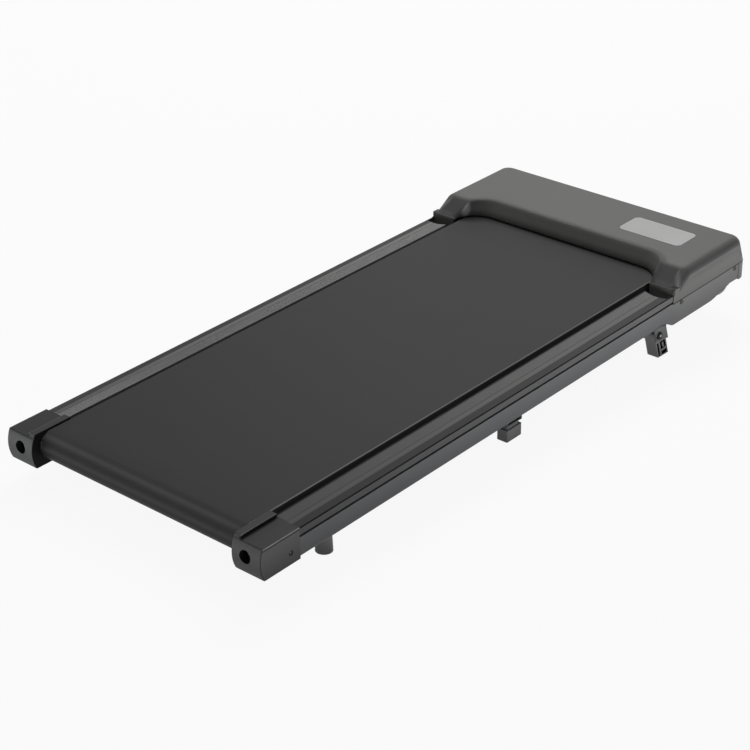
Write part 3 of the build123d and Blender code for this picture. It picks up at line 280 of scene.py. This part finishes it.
def skinMaterial(name, look):
    # colour drifts between two shades of one base, dust lightens it, pebbles give the bump; zones lay other
    # shades where all their tests hold, many of them painted light and shade, a painted falloff of light
    # scales the colour from the rear to the front, and where the edges are soft a bevel rounds the normal
    material, tree, shader = newMaterial(name)
    place = tree.nodes.new("ShaderNodeTexCoord")
    grain = addNode(tree, "ShaderNodeGroup", node_tree=skinGrain)
    grain.inputs["Scale"].default_value = look["grain"]
    grain.inputs["Drift"].default_value = skin["drift"]
    grain.inputs["Dust"].default_value = look.get("dust", skin["dust"])
    tree.links.new(place.outputs["Object"], grain.inputs["Vector"])
    colour = twoShades(tree, look["colour"], skin["spread"], grain.outputs["Tone"])
    colour = overlay(tree, colour, skin["dustColour"], grain.outputs["Dust"])
    if "zones" in look or "paintedLightFalloff" in look:
        level = addNode(tree, "ShaderNodeGroup", node_tree=chassisPlace)
        tree.links.new(place.outputs["Object"], level.inputs["Vector"])
        for shade, *tests in look.get("zones", {}).values():
            colour = overlay(tree, colour, (shade, shade, shade), zoneMask(tree, level, tests))
        # painted falloff of light: the colour is scaled up from the rear to the front
        if "paintedLightFalloff" in look:
            ramp = addNode(tree, "ShaderNodeMapRange")
            ends = (*skin["paintedLightFalloff"], *look["paintedLightFalloff"])
            for key, value in zip(("From Min", "From Max", "To Min", "To Max"), ends):
                ramp.inputs[key].default_value = value
            tree.links.new(level.outputs["Along"], ramp.inputs["Value"])
            colour = scaleColour(tree, colour, ramp.outputs["Result"])
    tree.links.new(colour, shader.inputs["Base Color"])
    smoothest = look["rough"] - skin["roughSpread"] * skin["meanTone"]
    rough = mathStep(tree, "MULTIPLY_ADD", grain.outputs["Tone"], skin["roughSpread"], smoothest)
    tree.links.new(rough, shader.inputs["Roughness"])
    bump = addNode(tree, "ShaderNodeBump", Strength=look["bump"], Distance=skin["depth"])
    tree.links.new(grain.outputs["Height"], bump.inputs["Height"])
    if "soften" in look:
        spot = mathStep(tree, "SUBTRACT", 1.0, zoneMask(tree, level, look["crisp"]))
        reach = mathStep(tree, "MULTIPLY", spot, zoneMask(tree, level, look["soft"]))
        bevel = addNode(tree, "ShaderNodeBevel", samples=skin["softSamples"])
        tree.links.new(mathStep(tree, "MULTIPLY", reach, look["soften"]), bevel.inputs["Radius"])
        tree.links.new(bevel.outputs["Normal"], bump.inputs["Normal"])
    tree.links.new(bump.outputs["Normal"], shader.inputs["Normal"])
    shader.inputs["Metallic"].default_value = look.get("metal", 0.0)
    shader.inputs["Specular IOR Level"].default_value = look.get("specular", skin["specular"])
    return material


# One look for each slot of the record
looks = {
    "frame_steel": {"colour": (0.080, 0.082, 0.085), "rough": 0.42, "specular": 0.15, "grain": 900,
                    "bump": 0.10, "dust": 0.03},
    "rail_plastic": {"colour": (0.155, 0.155, 0.152), "rough": 0.5, "specular": 0.03, "grain": 800,
                     "bump": 0.14, "dust": 0.03},
    "cap_plastic": {"colour": (0.054, 0.055, 0.056), "rough": 0.5, "specular": 0.06, "grain": 650,
                    "bump": 0.2, "dust": 0.03},
    "hood_plastic": {"colour": (0.098, 0.097, 0.0945), "rough": 0.45, "specular": 0.14, "grain": 600,
                     "bump": 0.2, "dust": 0.03},
    "foot_rubber": {"colour": (0.14, 0.14, 0.143), "rough": 0.6, "grain": 500, "bump": 0.25, "dust": 0.06},
    "foot_plastic": {"colour": (0.19, 0.19, 0.195), "rough": 0.45, "grain": 600, "bump": 0.2, "dust": 0.06},
    "bright_steel": {"colour": (0.55, 0.55, 0.56), "rough": 0.28, "metal": 1.0, "grain": 1500, "bump": 0.05},
    "black_steel": {"colour": (0.012, 0.012, 0.013), "rough": 0.35, "grain": 1500, "bump": 0.08},
    "deck_wood": {"colour": (0.02, 0.019, 0.018), "rough": 0.6, "grain": 400, "bump": 0.2},
    "cushion_rubber": {"colour": (0.04, 0.04, 0.04), "rough": 0.7, "grain": 500, "bump": 0.2},
    "drive_rubber": {"colour": (0.02, 0.02, 0.02), "rough": 0.6, "grain": 700, "bump": 0.2},
    "motor_paint": {"colour": (0.05, 0.05, 0.055), "rough": 0.3, "grain": 900, "bump": 0.08},
    "pulley_alloy": {"colour": (0.6, 0.6, 0.61), "rough": 0.3, "metal": 1.0, "grain": 1500, "bump": 0.05},
    "fan_plastic": {"colour": (0.02, 0.02, 0.02), "rough": 0.45, "grain": 700, "bump": 0.1},
    "circuit_board": {"colour": (0.02, 0.11, 0.05), "rough": 0.3, "grain": 700, "bump": 0.05},
    "heat_sink_alloy": {"colour": (0.5, 0.5, 0.51), "rough": 0.35, "metal": 1.0, "grain": 1200, "bump": 0.05},
    "display_lens": {"colour": (0.292, 0.292, 0.287), "rough": 0.3, "grain": 1500, "bump": 0.02, "dust": 0.0},
    "inlet_plastic": {"colour": (0.02, 0.02, 0.02), "rough": 0.35, "grain": 800, "bump": 0.1},
    "rocker_red": {"colour": (0.35, 0.015, 0.015), "rough": 0.3, "grain": 800, "bump": 0.05},
    "post_nylon": {"colour": (0.6, 0.6, 0.57), "rough": 0.5, "grain": 800, "bump": 0.1},
}

# Finishes of single pieces: a zone is a shade and its tests, a test is a way, low, high and softness
# the slanting line past the outer corners of the legs carries their painted highlights
legCorner = (("Across", 1.0), ("Along", 0.72))  # slanting line past the outer corners of the legs
hood = {
    **looks["hood_plastic"],
    "soften": 0.018,  # edges are soft on top, and crisp round the display and down the sides
    "soft": (("Height", 0.060, 0.2, 0.010), ("Across", 0.0, 0.2530, 0.0015)),
    "crisp": (("Across", 0.050, 0.209, 0.004), ("Along", 1.062, 1.160, 0.004)),
    # the hood's zones are painted light and shade: shade on the leg backs, rim and side tops, highlights on
    # the leg corners, a shadow line at the seam
    "zones": {
        # painted shade on the sloping backs of the legs
        "legBacksPaintedShade": (0.081, ("Along", 0.985, 1.010, 0.006), ("Across", 0.205, 0.239, 0.004),
                     ("Height", 0.055, 0.2, 0.003)),
        # painted shade in a band round the rounded rim
        "rimPaintedShade": (0.050, ("Across", 0.2520, 0.3, 0.006), ("Across", 0.0, 0.2547, 0.0003),
                    ("Height", 0.045, 0.2, 0.004)),
        # painted shade on the tops of the sides
        "sideTopsPaintedShade": (0.074, ("Across", 0.2547, 0.3, 0.0003), ("Height", 0.064, 0.2, 0.014)),
        # painted highlights on the outer rear corners of the legs
        "outerCornerPaintedHighlights": (0.19, (legCorner, 0.9635, 0.9637, 0.009), ("Across", 0.240, 0.2520, 0.004),
                         ("Height", 0.058, 0.2, 0.006)),
        # a painted highlight on the inner corner of the left leg
        "innerCornerPaintedHighlight": (0.50, ("Side", -0.2005, -0.1985, 0.0055), ("Along", 0.9980, 1.0040, 0.011),
                        ("Height", 0.060, 0.2, 0.008)),
        # a painted shadow line along the seam with the frame
        "seamPaintedShadow": (0.004, ("Height", 0.0, 0.0342, 0.0004)),
    },
}
# Side frames: a painted falloff of light brightens them from the rear to the front and further on the skirt,
# and a painted shadow line runs along the top seam
sideFrame = {
    **looks["frame_steel"], "paintedLightFalloff": (0.95, 1.44),
    "zones": {
        # painted light on the skirt
        "skirtPaintedLight": (0.095, ("Along", 1.03, 2.0, 0.08)),
        # a painted shadow line along the top
        "topSeamPaintedShadow": (0.003, ("Height", 0.0331, 0.1, 0.0004)),
    },
}
# Belly pan: the hood plastic laid paler as painted light, with painted light on the narrow face at its front
# end
bellyPan = {
    **looks["hood_plastic"], "colour": (0.14, 0.14, 0.137),
    "zones": {"frontEndPaintedLight": (0.24, ("Along", 1.170, 1.1788, 0.0003))},
}

# Foot rails: ribs laid paler between painted shade down each groove, a painted pattern of light and shade
ribs = {"band": ("Across", 0.2105, 0.2309, 0.0003), "pitch": 0.0023}
groove = {"first": 0.2113, "width": 0.0011, "soft": 0.0002, "shade": 0.010, "count": 9}
grooveStarts = [groove["first"] + ribs["pitch"] * i for i in range(groove["count"])]
paintedGrooveShades = {f"groove{i}": (groove["shade"], ("Across", start, start + groove["width"], groove["soft"]))
           for i, start in enumerate(grooveStarts)}
# the shoulder is laid darker; the outer strip gets painted shade and its groove a painted shadow line
railZones = {
    "shoulder": (0.064, ("Across", 0.2410, 0.2518, 0.0025)),
    "outerStripPaintedShade": (0.080, ("Across", 0.2529, 0.26, 0.0002)),
    "stripGroovePaintedShade": (0.010, ("Across", 0.2520, 0.2527, 0.0003)),
    # a painted shadow line along the seam with the frame
    "seamPaintedShadow": (0.003, ("Height", 0.0, 0.0367, 0.0004)),
}
rightRail = {
    # a painted falloff of light brightens the rail towards the front
    **looks["rail_plastic"], "paintedLightFalloff": (0.82, 1.55),
    "zones": {
        # rib tops laid paler than the strip, as painted light beside the painted groove shade
        "ribs": (0.38, ribs["band"]),
        **paintedGrooveShades,
        # painted shade at the inner edge beside the belt
        "innerEdgePaintedShade": (0.010, ("Across", 0.2, 0.2103, 0.004)),
        **railZones,
    },
}
leftRail = {
    # the left rail is laid paler than the right, its ribs too, as painted light, with a painted falloff of
    # light
    **looks["rail_plastic"], "colour": (0.20, 0.20, 0.196), "paintedLightFalloff": (0.8, 1.35),
    "zones": {
        "ribs": (0.54, ribs["band"]),
        # painted light on the ribs near the rear
        "rearRibsPaintedLight": (0.85, ribs["band"], ("Along", -0.1, 0.05, 0.30)),
        **paintedGrooveShades,
        **railZones,
        # painted light on the shoulder near the rear
        "rearShoulderPaintedLight": (0.094, ("Across", 0.2410, 0.2512, 0.002), ("Along", -0.1, 0.05, 0.25)),
    },
}

# End caps: painted shade on the top, the inner face and in the bolt's well, painted light on the outer side,
# and painted dark lines and highlights along the edges
capZones = {
    "topPaintedShade": (0.045, ("Height", 0.0485, 0.0525, 0.0015)),
    "outerSidePaintedLight": (0.078, ("Across", 0.2548, 0.26, 0.0002)),
    # a painted dark line along the top just inside the outer side
    "outerLinePaintedShade": (0.030, ("Across", 0.2531, 0.2546, 0.0003)),
    "innerFacePaintedShade": (0.004, ("Across", 0.0, 0.2013, 0.0004)),
    "boltWellPaintedShade": (0.006, ({"Across": 0.226, "Height": 0.0304}, 0.0, 0.0101, 0.0003)),
    "rearEdgePaintedShade": (0.025, ({"Along": -0.0002, "Height": 0.0503}, 0.0, 0.0014, 0.0005)),
    "sideEdgePaintedShade": (0.020, ({"Across": 0.2551, "Height": 0.0480}, 0.0, 0.0011, 0.0004)),
    # sideGlint and innerGlint are painted highlights
    "sideGlint": (0.200, ({"Across": 0.2549, "Height": 0.0504}, 0.0, 0.0010, 0.0003)),
    "innerStepPaintedShade": (0.012, ({"Across": 0.2135, "Height": 0.0528}, 0.0, 0.0022, 0.0004)),
    "innerGlint": (0.160, ({"Across": 0.2133, "Height": 0.0559}, 0.0, 0.0008, 0.0003)),
}
leftCap = {**looks["cap_plastic"], "zones": capZones}
# the right cap's rear face gets painted shade
rightCap = {**looks["cap_plastic"], "zones": {"rear": (0.042, ("Along", -0.02, 0.0035, 0.001)), **capZones}}
screw = {"Along": 0.053, "Height": 0.019}
# Cap screws: painted shade in a ring round the head and in its recess, and a painted glint
capScrew = {
    **looks["cap_plastic"],
    "zones": {
        "ring": (0.01, (screw, 0.0028, 0.01, 0.0004)),
        "recessPaintedShade": (0.01, (screw, 0.0, 0.0012, 0.0003)),
        "glint": (0.5, ({"Along": 0.0525, "Height": 0.0205}, 0.0, 0.0008, 0.0003)),
    },
}

# Incline feet: the pocket is measured across the leaning block from its pivot and gets painted shade
footLean = radians(18)
footPivot = {"Along": 0.942, "Height": -0.0125}
acrossFoot = (("Along", cos(footLean)), ("Height", sin(footLean)))
pivotAcross = sum(footPivot[way] * weight for way, weight in acrossFoot)
inclineFoot = {
    **looks["foot_plastic"],
    "zones": {"pocketPaintedShade": (0.006, (acrossFoot, pivotAcross - 0.0066, pivotAcross + 0.0166, 0.0003),
                         ("Across", 0.238, 0.2478, 0.0004))},
}
# Incline brackets: laid paler than the frame as painted light, with a painted contact shadow under the arch
# of the frame's lower edge
inclineBracket = {
    **looks["frame_steel"], "colour": (0.135, 0.137, 0.14),
    "zones": {"contactPaintedShadow": (0.03, ({"Along": 0.939, "Height": -0.0481}, 0.0513, 0.0545, 0.0012))},
}
# Incline bolts: a painted highlight on the head
inclineBolt = {
    **looks["black_steel"], "specular": 0.1,
    "zones": {"endPaintedHighlight": (0.9, ({"Along": 0.942, "Height": -0.0120}, 0.0, 0.0014, 0.0006))},
}

# Display: a paler rim along the four edges of the lens
lens = {"edges": (("Across", 0.0685), ("Across", 0.1905), ("Along", 1.08225), ("Along", 1.14075)),
        "rim": 0.0011, "soft": 0.0003, "shade": 0.5}
lensZones = {f"rim{i}": (lens["shade"], (way, edge - lens["rim"], edge + lens["rim"], lens["soft"]))
             for i, (way, edge) in enumerate(lens["edges"])}

nodeLooks = {
    "motor_hood": hood,
    "belly_pan": bellyPan,
    "right_side_frame": sideFrame,
    "left_side_frame": sideFrame,
    "right_foot_rail": rightRail,
    "left_foot_rail": leftRail,
    "right_end_cap": rightCap,
    "left_end_cap": leftCap,
    "end_cap_screws": capScrew,
    "right_incline_bracket": inclineBracket,
    "left_incline_bracket": inclineBracket,
    "right_incline_foot": inclineFoot,
    "left_incline_foot": inclineFoot,
    "incline_bolts": inclineBolt,
    "display_window": {**looks["display_lens"], "zones": lensZones},
}
finishes = {slot: skinMaterial(slot, look) for slot, look in looks.items()}
nodeFinishes = {node: skinMaterial(node, look) for node, look in nodeLooks.items()}
for part in frame["record"]["subparts"]:
    node = frame["nodes"][part["node"]]
    finish = nodeFinishes.get(part["node"], finishes.get(part["material_slot"]))
    if finish:  # the running belt's slot has none, since the woven belt replaces it
        node.data.materials.clear()
        node.data.materials.append(finish)
print("finishes assigned")


def beltMaterial(name, look):
    # woven cover: ridges for the bump and the tone, scaled by the painted light and shade on the mesh's rear
    # bend
    material, tree, shader = newMaterial(name)
    place = tree.nodes.new("ShaderNodeTexCoord")
    weave = addNode(tree, "ShaderNodeGroup", node_tree=beltWeave)
    weave.inputs["Pitch"].default_value = look["pitch"]
    tree.links.new(place.outputs["UV"], weave.inputs["Vector"])
    colour = twoShades(tree, look["colour"], look["spread"], weave.outputs["Tone"])
    # painted light and shade of the rear bend, read from the mesh
    bendPaintedLight = addNode(tree, "ShaderNodeAttribute", attribute_name="bendPaintedLight")
    tree.links.new(scaleColour(tree, colour, bendPaintedLight.outputs["Fac"]), shader.inputs["Base Color"])
    shader.inputs["Roughness"].default_value = look["rough"]
    shader.inputs["Specular IOR Level"].default_value = look["specular"]
    bump = addNode(tree, "ShaderNodeBump", Strength=look["bump"], Distance=look["depth"])
    tree.links.new(weave.outputs["Height"], bump.inputs["Height"])
    tree.links.new(bump.outputs["Normal"], shader.inputs["Normal"])
    return material


def ringMesh(name, points, uv):
    # points[i, j] joined to its neighbours along i and j, closed both ways; uv has one more row and column
    rows, columns = points.shape[:2]
    i, j = np.meshgrid(np.arange(rows), np.arange(columns), indexing="ij")
    iNext, jNext = (i + 1) % rows, (j + 1) % columns
    corners = (i * columns + j, i * columns + jNext, iNext * columns + jNext, iNext * columns + j)
    faces = np.stack(corners, axis=-1).reshape(-1, 4)
    mesh = bpy.data.meshes.new(name)
    mesh.from_pydata(points.reshape(-1, 3).tolist(), [], faces.tolist())
    flat = np.stack([uv[i, j], uv[i, j + 1], uv[i + 1, j + 1], uv[i + 1, j]], axis=2)
    mesh.uv_layers.new(name="place").data.foreach_set("uv", flat.ravel())
    mesh.polygons.foreach_set("use_smooth", np.ones(len(mesh.polygons), dtype=bool))
    return mesh


# Running belt: its faces have radii about the two roller axes, and the painted highlights and shade on
# the rear bend go by the angle from the top of the bend
belt = {"halfWidth": 0.2, "rearY": 0.033, "frontY": 1.052, "axisZ": 0.0304, "inner": 0.022, "outer": 0.0236,
        "shoulder": 0.0228, "bevel": 0.0012, "sharpAngle": radians(20),
        "runSteps": 24, "arcSteps": 36, "acrossSteps": 8,
        "bendAngle": (0, 8, 16, 24, 33, 40, 48, 57, 66, 73, 80, 88, 98, 120),
        "bendPaintedTone": (1.1, 1.5, 1.8, 2.0, 2.9, 2.2, 1.2, 0.60, 0.38, 0.40, 0.65, 0.46, 0.30, 0.45),
        "look": {"colour": (0.024, 0.024, 0.0244), "spread": 0.1, "pitch": 0.0045, "rough": 0.55,
                 "specular": 0.086, "bump": 0.15, "depth": 0.0003},
        "edge": {"colour": (0.25, 0.25, 0.245), "rough": 0.7, "grain": 900, "bump": 0.2, "dust": 0.0}}


def beltPath(radius):
    # stadium: along the top, half round the front roller, back below and half round the rear roller
    run = np.linspace(0, 1, belt["runSteps"], endpoint=False)
    arc = np.linspace(0, pi, belt["arcSteps"], endpoint=False)
    span = belt["frontY"] - belt["rearY"]
    top = np.stack([belt["rearY"] + span * run, np.full_like(run, radius)], axis=-1)
    front = np.stack([belt["frontY"] + radius * np.sin(arc), radius * np.cos(arc)], axis=-1)
    below = np.stack([belt["frontY"] - span * run, np.full_like(run, -radius)], axis=-1)
    rear = np.stack([belt["rearY"] - radius * np.sin(arc), -radius * np.cos(arc)], axis=-1)
    path = np.concatenate([top, front, below, rear])
    path[:, 1] += belt["axisZ"]
    return path


def buildBelt():
    outer, shoulder, inner = (beltPath(belt[key]) for key in ("outer", "shoulder", "inner"))
    half = belt["halfWidth"]
    across = np.linspace(belt["bevel"] - half, half - belt["bevel"], belt["acrossSteps"] + 1)
    # cross section: over the bevelled outer face from left to right, then back along the inner face
    face = [(x, outer) for x in across]
    sides = [(-half, shoulder), *face, (half, shoulder), (half, inner), (-half, inner)]
    points = np.stack([np.column_stack([np.full(len(path), x), path]) for x, path in sides], axis=1)
    steps = np.linalg.norm(np.diff(np.vstack([outer, outer[:1]]), axis=0), axis=1)
    along = np.concatenate([[0], np.cumsum(steps)])
    u = np.array([x for x, _ in sides] + [-half])
    uv = np.stack(np.broadcast_arrays(u[None, :], along[:, None]), axis=-1)
    mesh = ringMesh("wovenBelt", tipped(points), uv)
    mesh.materials.append(beltMaterial("belt_rubber", belt["look"]))
    mesh.materials.append(skinMaterial("belt_ply_and_edge_highlight", belt["edge"]))
    columns = len(sides)
    # bare ply on the bevels and the cut edges, its pale colour partly the ply's own and partly a painted
    # highlight along the edges
    edge = np.isin(np.arange(len(mesh.polygons)) % columns, (0, columns - 4, columns - 3, columns - 1))
    mesh.polygons.foreach_set("material_index", edge.astype(np.int32))
    # painted highlights and shade round the rear bend, by the angle from its top
    angle = np.degrees(np.arctan2(belt["rearY"] - outer[:, 0], outer[:, 1] - belt["axisZ"]))
    tone = np.where(outer[:, 0] < belt["rearY"], np.interp(angle, belt["bendAngle"], belt["bendPaintedTone"]), 1.0)
    bendPaintedLight = mesh.attributes.new("bendPaintedLight", "FLOAT", "POINT")
    bendPaintedLight.data.foreach_set("value", np.repeat(tone, columns).astype(np.float32))
    mesh.set_sharp_from_angle(angle=belt["sharpAngle"])
    piece = bpy.data.objects.new("wovenBelt", mesh)
    bpy.context.scene.collection.objects.link(piece)
    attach(piece, "chassis")
    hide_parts("running_belt")


buildBelt()
print("belt woven")

# Studio: a dim room, a broad lamp beyond the hood, light cards on the floor at the right and behind, a
# small lamp high on the left and one near the camera
# lamps: name, place, aim, width and depth, power
studio = {"floorSize": 12.0, "floorShade": 0.4, "floorRough": 0.9, "floorSpecular": 0.1, "floorPaint": 0.95,
          "floorGlow": 0.92, "worldGrey": 0.13, "lamps": (
    ("frontSky", (-2.2, 3.5, 4.0), (0.0, 0.1, 0.05), (2.8, 2.8), 150),
    ("floorCard", (1.15, 0.15, 0.004), (1.15, 0.15, 1.0), (1.4, 2.4), 48),
    ("rearCard", (-0.4, -1.1, 0.004), (-0.4, -1.1, 1.0), (1.5, 0.8), 20),
    ("highLeft", (-1.74, -0.84, 2.5), (0.0, -0.5, 0.0), (0.5, 0.5), 8),
    ("eyeLamp", (1.9, -1.9, 1.7), (0.0, 0.2, 0.0), (0.5, 0.5), 4.5),
)}


def directRay(tree):
    # rays that show the white surroundings: from the camera, off gloss and through glass
    rays = tree.nodes.new("ShaderNodeLightPath")
    seen = mathStep(tree, "MAXIMUM", rays.outputs["Is Camera Ray"], rays.outputs["Is Transmission Ray"])
    return mathStep(tree, "MAXIMUM", seen, rays.outputs["Is Glossy Ray"])


def layFloor():
    half = studio["floorSize"] / 2
    corners = [(-half, -half, 0), (half, -half, 0), (half, half, 0), (-half, half, 0)]
    mesh = bpy.data.meshes.new("floor")
    mesh.from_pydata(corners, [], [(0, 1, 2, 3)])
    floor = bpy.data.objects.new("floor", mesh)
    bpy.context.scene.collection.objects.link(floor)
    material, tree, shader = newMaterial("floorWhite")
    shade = studio["floorShade"]
    shader.inputs["Base Color"].default_value = (shade, shade, shade, 1)
    shader.inputs["Roughness"].default_value = studio["floorRough"]
    shader.inputs["Specular IOR Level"].default_value = studio["floorSpecular"]
    # seen directly, the floor is a glow mixed with white paint, which keeps the shadow
    white = studio["floorPaint"]
    paint = addNode(tree, "ShaderNodeBsdfDiffuse", Color=(white, white, white, 1))
    glow = tree.nodes.new("ShaderNodeEmission")
    pale = addNode(tree, "ShaderNodeMixShader", Fac=studio["floorGlow"])
    tree.links.new(paint.outputs["BSDF"], pale.inputs[1])
    tree.links.new(glow.outputs["Emission"], pale.inputs[2])
    mix = tree.nodes.new("ShaderNodeMixShader")
    tree.links.new(directRay(tree), mix.inputs["Fac"])
    tree.links.new(shader.outputs["BSDF"], mix.inputs[1])
    tree.links.new(pale.outputs["Shader"], mix.inputs[2])
    tree.links.new(mix.outputs["Shader"], tree.nodes["Material Output"].inputs["Surface"])
    mesh.materials.append(material)


def lightRoom():
    # white where it is seen directly, grey as a light
    world = bpy.data.worlds.new("studioWorld")
    bpy.context.scene.world = world
    world.use_nodes = True
    tree = world.node_tree
    background = tree.nodes["Background"]
    level = mathStep(tree, "MULTIPLY_ADD", directRay(tree), 1 - studio["worldGrey"], studio["worldGrey"])
    tree.links.new(level, background.inputs["Strength"])
    background.inputs["Color"].default_value = (1, 1, 1, 1)


def hangLamps():
    for name, place, target, (width, depth), power in studio["lamps"]:
        data = bpy.data.lights.new(name, "AREA")
        data.shape = "RECTANGLE"
        data.size = width
        data.size_y = depth
        data.energy = power
        lamp = bpy.data.objects.new(name, data)
        lamp.location = place
        lamp.rotation_euler = (Vector(target) - Vector(place)).to_track_quat("-Z", "Y").to_euler()
        lamp.visible_camera = False
        bpy.context.scene.collection.objects.link(lamp)


layFloor()
lightRoom()
hangLamps()
bpy.context.scene.view_settings.view_transform = "Standard"
print("studio ready")
